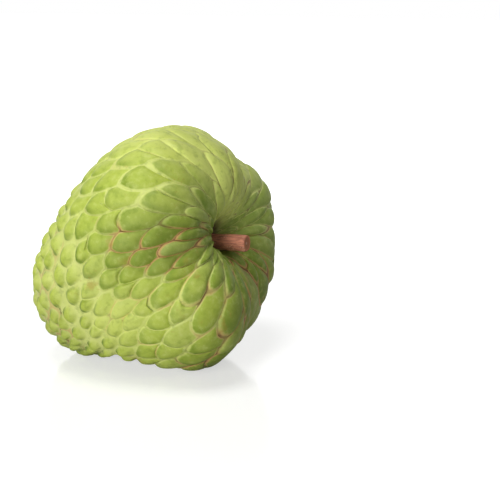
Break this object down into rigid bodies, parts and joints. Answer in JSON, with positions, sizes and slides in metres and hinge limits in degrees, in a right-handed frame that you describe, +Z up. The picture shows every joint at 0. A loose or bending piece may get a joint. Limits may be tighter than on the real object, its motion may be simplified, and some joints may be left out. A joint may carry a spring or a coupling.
{
  "type": "custard apple",
  "caption": "Whole heart-shaped custard apple with raised oval scales on its green skin, lying on its side with a short cut stalk in its stem cavity.",
  "frame": {"origin": "middle of the fruit's bounding box in X and Y, on the ground plane it lies on", "axes": "+Z up; the core lies in the XZ plane, the stem end towards +X and raised 22.5 degrees"},
  "size_m": [0.0997, 0.0997, 0.1012],
  "materials": {
    "skin": "satin green skin, paler in the creases between the scales",
    "bark": "dry reddish-brown bark, darker at the cut end"
  },
  "bodies": {
    "root": {"fruit": "skin", "stalk": "bark"}
  },
  "joints": []
}
